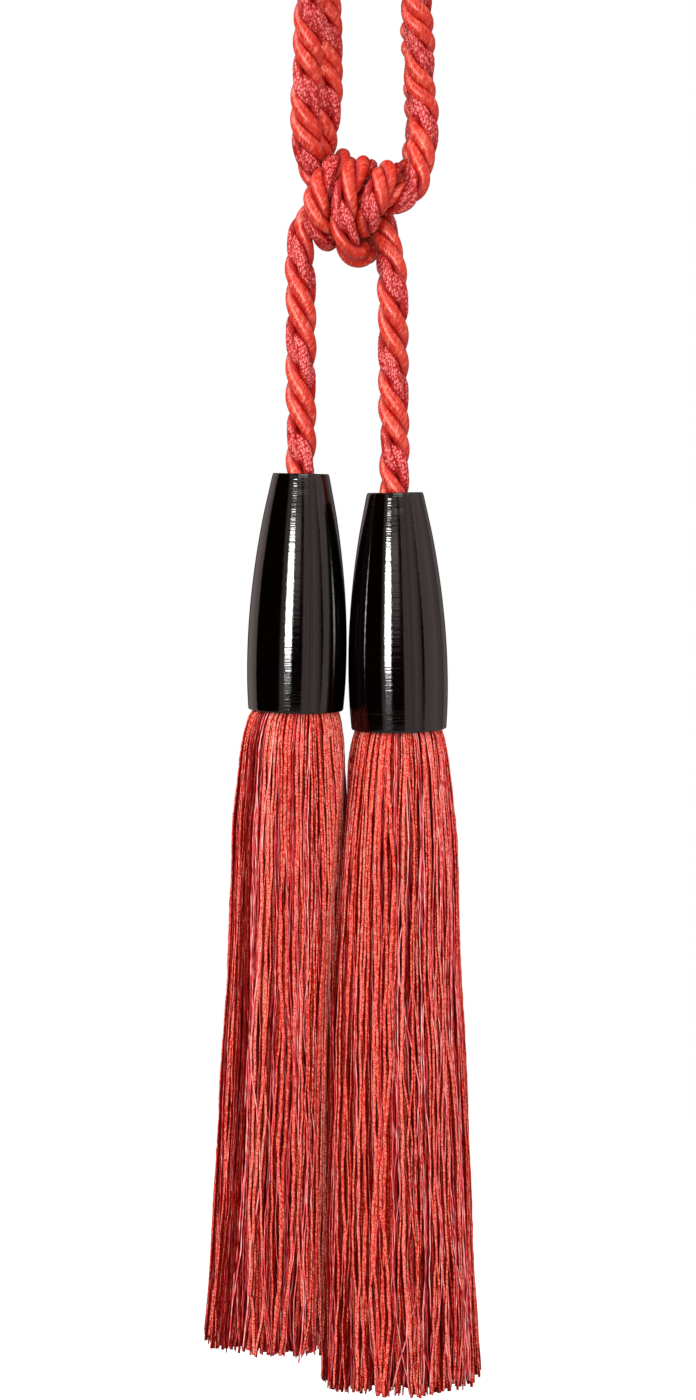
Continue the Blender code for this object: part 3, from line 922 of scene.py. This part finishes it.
def skirt_outline(side, below):
    """The skirt's centre and outline at a depth below its head, from the outer side round. The
    outline is cut off where the skirt presses on its neighbour."""
    sign = -1 if side == "left" else 1
    foot = head_foot(side)
    levels = np.array(SKIRT_LEVELS_MM, float)
    levels[:, :7] *= MM
    row = [np.interp(below, levels[:, 0], levels[:, k]) for k in range(1, 8)]
    left_edge, right_edge, contact, reach, half_depth, offset, slant = row
    outer = left_edge if side == "left" else right_edge
    inner = contact - sign * reach
    centre = np.array([(outer + inner) / 2, -sign * offset])
    half_width = abs(outer - inner) / 2
    bulge = np.clip((below - NECK_DROP) / (levels[0, 0] - NECK_DROP), 0, 1) ** 0.5
    centre = foot[:2] + (centre - foot[:2]) * bulge
    half_width = NECK_RADIUS + (half_width - NECK_RADIUS) * bulge
    half_depth = NECK_RADIUS + (half_depth - NECK_RADIUS) * bulge
    angle = np.linspace(0, 2 * math.pi, OUTLINE_POINTS, endpoint=False)
    ray = np.stack([sign * half_width * np.cos(angle), half_depth * np.sin(angle)], axis=1)
    across = -sign * (ray[:, 0] - slant * ray[:, 1])
    room = -sign * (contact - centre[0] + slant * centre[1]) - CONTACT_GAP
    room_here = np.where(across > 1e-9, room / np.maximum(across, 1e-9), 1.0)
    return centre, ray * np.clip(room_here, 0, 1)[:, None]


def thread_row(side, depth, thickness, random):
    """The yarns and threads in a row round a layer: which kind each is, and how wide."""
    girth = length_along(skirt_outline(side, GIRTH_LEVEL)[1])[-1] - 2 * math.pi * depth
    kinds, widths = [], []
    while sum(widths) < girth * PACKING:
        after_thread = not kinds or kinds[-1] == "thread"
        chance = YARN_AFTER_THREAD if after_thread else YARN_AFTER_YARN
        if thickness > ALL_YARNS_FROM or random.random() < chance:
            kinds.append("yarn")
            widths.append(2 * YARN_RADIUS * thickness * random.uniform(*YARN_WIDTHS))
        else:
            kinds.append("thread")
            widths.append(2 * THREAD_RADIUS * random.uniform(*THREAD_WIDTHS))
    return np.array(kinds), np.array(widths)


def thread_habits(count, outermost, own_drift, random):
    """How each of the threads departs from the rest: its length, its splay at the cut end (round the
    skirt, outward), how far it drifts, how deep it lies and where its own waves start."""
    lengths = random.normal(0, LENGTH_SPREAD, count)
    odd = random.random(count) < ODD_LENGTH_SHARE
    lengths = np.where(odd, random.uniform(*ODD_LENGTHS_MM, count) * MM, lengths)
    splay = random.normal(0, OUTER_SPLAY if outermost else INNER_SPLAY, (2, count))
    splay[1] = np.clip(SPLAY_OUT_SHARE * splay[1] + SPLAY_OUT, *SPLAY_OUT_LIMITS)
    stray = random.random(count) < STRAY_SHARE
    drift = own_drift * np.where(stray, random.uniform(*STRAY_DRIFT, count), 1.0)
    depths = ROW_DEPTH_MM * random.integers(0, 2, count) + random.uniform(*DEPTH_SPREAD_MM, count)
    starts = random.uniform(0, 2 * math.pi, (5, count))
    return lengths, splay, drift, depths * MM, starts


def ring_levels(kind, drop, thinning):
    """How far below the head the rings of a thread lie."""
    if kind == "thread":
        root = np.array([-ROOT_INSET, *(below * MM for below in THREAD_ROOT_MM)])
        return np.concatenate([root, np.linspace(THREAD_RUN_START, drop, THREAD_RUN_RINGS)])
    root = np.arange(-ROOT_INSET, YARN_ROOT_REACH, YARN_ROOT_STEP)
    run = np.arange(YARN_ROOT_REACH, drop, YARN_RING_STEP)
    return np.concatenate([np.concatenate([root, run])[::thinning], [drop]])


def wave(waves, share_down, start):
    """A wave's height: how many waves fill the whole way down, and their size."""
    number, size = waves
    return size * np.sin(2 * math.pi * number * share_down + start)


def hanging_lines(side, shares, depth, levels, habits):
    """The threads' lines, level by level, and their outward directions: (thread, level, xyz). Each
    thread hangs from its share of the skirt's girth."""
    lengths, splay, drift, depths, starts = habits
    foot_z = head_foot(side)[2]
    drop = levels[-1]
    common = np.random.default_rng(COMMON_SEEDS[side]).uniform(0, 2 * math.pi, len(COMMON_WAVES))
    lines = np.zeros((len(levels), len(shares), 3))
    outs = np.zeros_like(lines)
    for i, below in enumerate(levels):
        share_down = max(below, 0.0) / drop
        centre, ray = skirt_outline(side, max(below, 0.0))
        loop = np.vstack([ray, ray[:1]])
        along = length_along(loop)
        sway = sum(
            size * np.sin(2 * math.pi * (around * shares + down * share_down) + start)
            for (around, down, size), start in zip(COMMON_WAVES, common)
        )
        slow = wave(SLOW_WAVES[0], share_down, starts[0]) + wave(SLOW_WAVES[1], share_down, starts[1])
        quick = wave(QUICK_WAVES[0], share_down, starts[2]) + wave(QUICK_WAVES[1], share_down, starts[4])
        loosening = ROOT_SWAY + (1 - ROOT_SWAY) * share_down
        flare = (max(0.0, share_down - FLARE_START) / (1 - FLARE_START)) ** 2
        shift = (sway * COMMON_SHARE + slow * drift + quick) * loosening * MM + splay[0] * flare
        places = np.mod(shares + shift / along[-1], 1.0) * along[-1]
        at = np.stack([np.interp(places, along, loop[:, k]) for k in range(2)], axis=1)
        reach = np.linalg.norm(at, axis=1, keepdims=True)
        rise = wave(RISE_WAVE, share_down, starts[3]) * MM * min(1.0, RISE_GROWTH * share_down)
        inward = depth + depths * min(1.0, DEPTH_GROWTH * share_down) - rise - splay[1] * flare
        outs[i, :, :2] = at / reach
        lines[i, :, :2] = centre + outs[i, :, :2] * (reach - inward[:, None])
        lines[i, :, 2] = foot_z - below - (lengths * share_down if below > 0 else 0)
    return lines.transpose(1, 0, 2), outs.transpose(1, 0, 2)


def fringe(side, kind, random):
    """The swept threads of one kind in one skirt, layer by layer."""
    drop = head_foot(side)[2] - CUT_HEIGHT[side]
    sides, radius_share, own_drift = KINDS[kind]
    strands = []
    for layer, (depth, thinning, thickness, shade) in enumerate(LAYERS):
        row_random = np.random.default_rng(ROW_SEEDS[side] + 10 * layer)
        kinds, widths = thread_row(side, depth, thickness, row_random)
        shares = (np.cumsum(widths) - widths / 2) / widths.sum()
        chosen = kinds == kind
        habits = thread_habits(chosen.sum(), layer == 0, own_drift, row_random)
        levels = ring_levels(kind, drop, thinning)
        lines, outs = hanging_lines(side, shares[chosen], depth, levels, habits)
        for line, out, width in zip(lines, outs, widths[chosen]):
            ahead = unit(np.gradient(line, axis=0))
            out = unit(out - ahead * (out * ahead).sum(axis=1)[:, None])
            flank = np.cross(ahead, out)
            along = length_along(line)
            swell = np.interp(along, [0, ROOT_LENGTH], [ROOT_SHARE, 1.0])[:, None, None]
            if kind == "yarn":
                crinkle = random.normal(0, CRINKLE_ROUND, (len(line), sides, 1))
                crinkle = crinkle + random.normal(0, CRINKLE_ALONG, (len(line), 1, 1))
                swell = swell * (1 + crinkle)
            half = width * radius_share
            rings = round_rings(line, out, flank, half, half, sides, swell)
            start = random.uniform(0, 1)
            # the layer's painted shade goes with each strand, kept as its depth
            strands.append((rings, along + start, 2 * math.pi * half, random.random(), shade))
    return strands


YARN_SILK = silk(
    "crepe_yarn_orange_red",
    relief=CREPE_GRAIN,
    sizes={"Grain Width": 0.55, "Grain Length": 0.75, "Slant": 0.5},
    colour_from="Crevice",
    colours=[
        # how deep in a crevice, colour: the middle is the yarn's own orange-red, the pale tops of the
        # grains a painted highlight, the dark red deep in the crevices painted shade
        (0.12, (0.90, 0.31, 0.24)),
        (0.38, (0.81, 0.19, 0.135)),
        (0.68, (0.72, 0.095, 0.065)),
        (0.95, (0.52, 0.025, 0.016)),
    ],
    girth=2 * math.pi * YARN_RADIUS,
    # where the painted shade between strands starts and ends, and its dark red colour, also painted on
    # strands in the inner layers
    gap={"Start": 0.75, "End": 0.35, "Inside": 0.9},
    painted_shade_colour=(0.07, 0.0002, 0.0004),
    relief_depth=0.15 * MM,
    roughness=0.4,
    gloss=0.05,
    gloss_tint=(1.0, 0.2, 0.15),
    brushed=0.0,
)
THREAD_SILK = silk(
    "smooth_thread_pink",
    relief=FILAMENTS,
    sizes={"Line Width": 0.3, "Line Length": 5.0, "Slant": 0.12},
    colour_from="Tone",
    colours=[
        # tone, colour: the threads' own pinks and magentas, the palest partly a painted highlight line
        (0.34, (0.34, 0.003, 0.008)),
        (0.44, (0.62, 0.042, 0.052)),
        (0.55, (0.84, 0.13, 0.14)),
        (0.65, (1.0, 0.48, 0.46)),
    ],
    girth=2 * math.pi * THREAD_RADIUS,
    # where the painted shade between strands starts and ends, and its dark red colour, also painted on
    # strands in the inner layers
    gap={"Start": 0.65, "End": 0.2, "Inside": 0.8},
    painted_shade_colour=(0.07, 0.0002, 0.0005),
    relief_depth=0.06 * MM,
    roughness=0.26,
    gloss=0.12,
    gloss_tint=(1.0, 0.35, 0.3),
    brushed=0.0,
)
for side in HEADS:
    for kind, surface, seeds in (("yarn", YARN_SILK, YARN_SEEDS), ("thread", THREAD_SILK, THREAD_SEEDS)):
        name = "skirt_" + side + "_" + kind + "s"
        strands = fringe(side, kind, np.random.default_rng(seeds[side]))
        piece = placed(name, swept_mesh(name, strands))
        piece.data.materials.append(surface)
        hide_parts("skirt_" + side)
        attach(piece, "root")

# ---------------------------------------------------------------------------- Floor and light
# A plain white floor well below the cut ends, in a white room. A narrow strip lamp stands close by,
# to the left of the lens, with two twins that give only its glare: one on the silk and a smaller one
# on the polished heads. A lamp overhead, one far to the left for the silk and a wide one in front
# soften its shadows. Pale cards stand in the room for the heads to reflect.
FLOOR_HEIGHT = -0.62
FLOOR_SIZE = 0.9
FLOOR_SIDES = 64
FLOOR_GLOW = 0.05
FLOOR_GLOW_SEEN = 0.85
ROOM_GLOW = 0.006
ROOM_TINT = (1.0, 0.8, 0.77)
WHITE = (1.0, 1.0, 1.0)
BAND_FINENESS = 13.0
BAND_NOISE = (0.35, 0.65)  # the noise from the darkest band to the lightest
BAND_LIGHT = (0.55, 1.5)  # and their light
CARDS = {
    # strength, whether its light comes in uneven bands, and its soft edges: which way, from, to, and
    # how much of it is lit before and after
    "halo_of_strip_lamp": (
        2.2,
        False,
        [
            ("right", -0.27, -0.22, 0.0, 1.0),
            ("right", 0.0, 0.17, 1.0, 0.0),
            ("front", 0.5, 0.6, 0.0, 1.0),
            ("up", 0.08, 0.18, 0.0, 1.0),
            ("up", 0.32, 0.42, 1.0, 0.0),
        ],
    ),
    "card_front_left": (
        0.69,
        False,
        [("left", 0.4, 0.44, 0.0, 1.0), ("left", 0.58, 0.66, 1.0, 0.0), ("front", 0.4, 0.5, 0.0, 1.0)],
    ),
    "card_front_right": (
        0.84,
        True,
        [("right", 0.2, 0.26, 0.0, 1.0), ("right", 0.83, 0.85, 1.0, 0.0), ("front", 0.3, 0.4, 0.0, 1.0)],
    ),
    "card_right": (
        0.96,
        True,
        [("right", 0.3, 0.5, 0.0, 1.0), ("back", -0.46, -0.41, 0.0, 1.0), ("back", 0.1, 0.5, 1.0, 0.4)],
    ),
    "wall_back_left": (
        0.85,
        False,
        [("left", 0.3, 0.5, 0.0, 1.0), ("back", 0.27, 0.32, 0.0, 1.0), ("back", 0.6, 0.95, 1.0, 0.5)],
    ),
    "ceiling": (0.2, False, [("up", 0.45, 0.9, 0.0, 1.0)]),
}
LAMPS = {
    # azimuth and elevation in degrees, distance, width, height, radiance, height aimed at
    "strip_lamp": (-21.15, 0, 0.407, 0.1, 0.15, 9.6, -0.17),
    "strip_glare_on_silk": (-21.15, 0, 0.409, 0.1, 0.15, 42.0, -0.17),
    "strip_glare_on_heads": (-21.15, 0, 0.411, 0.075, 0.11, 80.0, -0.167),
    "overhead_lamp": (12, 55, 1.4, 0.7, 0.5, 5.5, -0.45),
    "side_lamp": (-72, 42, 1.2, 0.5, 0.5, 14.0, -0.42),
    "front_fill": (0, 4, 1.6, 0.9, 0.9, 5.0, -0.35),
}


def plain_floor():
    """A white floor that glows a little, so that no edge of it shows against the room."""
    mesh = bpy.data.meshes.new("floor")
    angle = np.linspace(0, 2 * math.pi, FLOOR_SIDES, endpoint=False)
    height = np.full(FLOOR_SIDES, FLOOR_HEIGHT)
    rim = np.stack([FLOOR_SIZE * np.cos(angle), FLOOR_SIZE * np.sin(angle), height], axis=1)
    mesh.from_pydata(rim.tolist(), [], [list(range(FLOOR_SIDES))])
    made = bpy.data.materials.new("floor_white")
    made.use_nodes = True
    tree = made.node_tree
    seen = node(tree, "ShaderNodeLightPath").outputs["Is Camera Ray"]
    feed(
        tree,
        tree.nodes["Principled BSDF"],
        {
            "Base Color": (0.7, 0.7, 0.7, 1.0),
            "Roughness": 0.9,
            "Emission Color": (*WHITE, 1.0),
            "Emission Strength": scaled(tree, seen, FLOOR_GLOW_SEEN, FLOOR_GLOW),
        },
    )
    mesh.materials.append(made)
    return placed("floor", mesh)


def lamp(name):
    """A rectangular lamp turned to the tassel. Azimuth 0 is the lens's side, negative its left."""
    azimuth, elevation, distance, width, height, radiance, aim = LAMPS[name]
    turn, tilt = math.radians(azimuth), math.radians(elevation)
    light = bpy.data.lights.new(name, "AREA")
    light.shape = "RECTANGLE"
    light.size = width
    light.size_y = height
    light.energy = radiance * math.pi * width * height
    made = placed(name, light)
    back = np.array([math.sin(turn) * math.cos(tilt), -math.cos(turn) * math.cos(tilt), math.sin(tilt)])
    made.location = back * distance + (0.0, 0.0, aim)
    made.rotation_euler = (math.pi / 2 - tilt, 0.0, turn)
    return made


def lit_only(name, *pieces):
    """A group of the pieces that a lamp lights alone."""
    group = bpy.data.collections.new(name)
    for piece in pieces:
        group.objects.link(bpy.data.objects[piece])
    return group


def white_room():
    """The room round the tassel: plain white to the lens, but dim to the tassel save for its cards."""
    room = bpy.data.worlds.new("room")
    room.use_nodes = True
    tree = room.node_tree
    tree.nodes.clear()
    way = node(tree, "ShaderNodeTexCoord").outputs["Generated"]
    right, back, up = node(tree, "ShaderNodeSeparateXYZ", {0: way}).outputs
    ways = {"right": right, "left": scaled(tree, right, -1.0), "back": back, "up": up}
    ways["front"] = scaled(tree, back, -1.0)
    place = node(tree, "ShaderNodeCombineXYZ", {0: scaled(tree, right, BAND_FINENESS)}).outputs[0]
    bands = [noise(tree, place, 1.0, 2.0), *BAND_NOISE, *BAND_LIGHT]
    banded = node(tree, "ShaderNodeMapRange", dict(enumerate(bands))).outputs[0]
    glow = ROOM_GLOW
    for strength, is_banded, edges in CARDS.values():
        level = maths(tree, "MULTIPLY", banded, strength) if is_banded else strength
        for direction, start, end, before, after in edges:
            lit_here = eased(tree, ways[direction], start, end, before, after)
            level = maths(tree, "MULTIPLY", lit_here, level)
        glow = maths(tree, "ADD", level, glow)
    seen = node(tree, "ShaderNodeLightPath").outputs["Is Camera Ray"]
    tint = ramp(tree, seen, [(0.0, ROOM_TINT), (1.0, WHITE)])
    lit = node(tree, "ShaderNodeBackground", {0: tint, 1: maths(tree, "MAXIMUM", glow, seen)})
    node(tree, "ShaderNodeOutputWorld", {0: lit.outputs[0]})
    return room


plain_floor()
lamps = {name: lamp(name) for name in LAMPS}
for name in ("strip_glare_on_silk", "strip_glare_on_heads"):
    lamps[name].visible_diffuse = False
lamps["front_fill"].visible_glossy = False
polished = lit_only("polished_heads", "turned_head_left", "turned_head_right")
silken = lit_only(
    "silk_pieces",
    "rope_satin_strands",
    "rope_crepe_strand",
    "skirt_left_yarns",
    "skirt_left_threads",
    "skirt_right_yarns",
    "skirt_right_threads",
)
lamps["strip_glare_on_heads"].light_linking.receiver_collection = polished
lamps["side_lamp"].light_linking.receiver_collection = silken
bpy.context.scene.world = white_room()
bpy.context.scene.view_settings.view_transform = "Standard"
